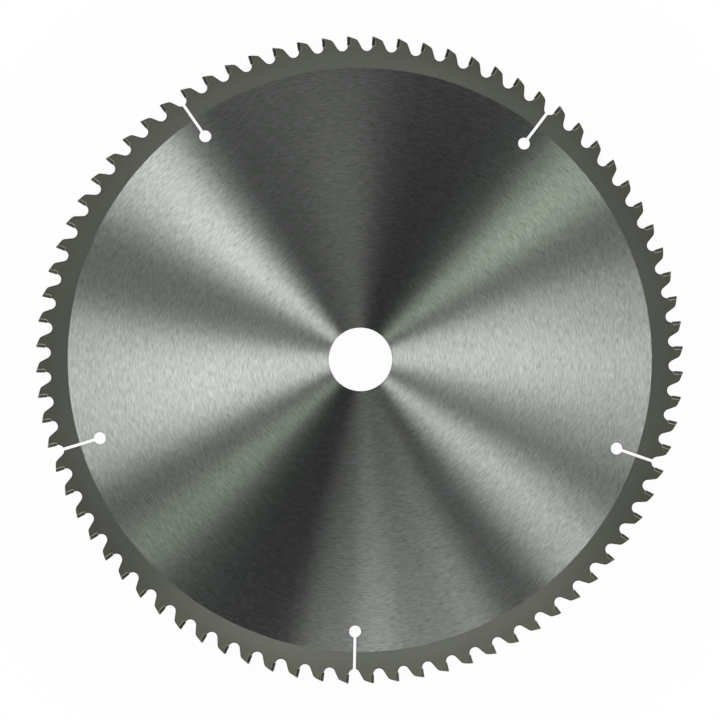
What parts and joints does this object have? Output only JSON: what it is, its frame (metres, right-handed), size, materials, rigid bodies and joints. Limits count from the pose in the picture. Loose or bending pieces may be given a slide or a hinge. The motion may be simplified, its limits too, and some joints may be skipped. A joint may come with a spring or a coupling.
{
  "type": "circular saw blade",
  "caption": "Carbide-tipped circular saw blade with a plain round bore, alternating bevelled and flat tips, and expansion slots that end in round holes.",
  "frame": {"origin": "centre of the bore, at the middle of the plate's thickness", "axes": "+Z along the bore axis, away from the surface the blade lies on; +X and +Y in the plate's plane, with one expansion slot along -Y"},
  "size_m": [0.305, 0.305, 0.003],
  "materials": {
    "plate": "circular-brushed centre, satin blasted rim",
    "carbide": "ground and polished sintered carbide",
    "braze": "silver braze, satin"
  },
  "bodies": {
    "root": {"blade_plate": "plate", "tip_pair_01": "carbide", "tip_pair_02": "carbide", "tip_pair_03": "carbide", "tip_pair_04": "carbide", "tip_pair_05": "carbide", "tip_pair_06": "carbide", "tip_pair_07": "carbide", "tip_pair_08": "carbide", "tip_pair_09": "carbide", "tip_pair_10": "carbide", "tip_pair_11": "carbide", "tip_pair_12": "carbide", "tip_pair_13": "carbide", "tip_pair_14": "carbide", "tip_pair_15": "carbide", "tip_pair_16": "carbide", "tip_pair_17": "carbide", "tip_pair_18": "carbide", "tip_pair_19": "carbide", "tip_pair_20": "carbide", "tip_pair_21": "carbide", "tip_pair_22": "carbide", "tip_pair_23": "carbide", "tip_pair_24": "carbide", "tip_pair_25": "carbide", "tip_pair_26": "carbide", "tip_pair_27": "carbide", "tip_pair_28": "carbide", "tip_pair_29": "carbide", "tip_pair_30": "carbide", "tip_pair_31": "carbide", "tip_pair_32": "carbide", "tip_pair_33": "carbide", "tip_pair_34": "carbide", "tip_pair_35": "carbide", "tip_pair_36": "carbide", "tip_pair_37": "carbide", "tip_pair_38": "carbide", "tip_pair_39": "carbide", "tip_pair_40": "carbide", "braze_seams_01": "braze", "braze_seams_02": "braze", "braze_seams_03": "braze", "braze_seams_04": "braze", "braze_seams_05": "braze"}
  },
  "joints": []
}
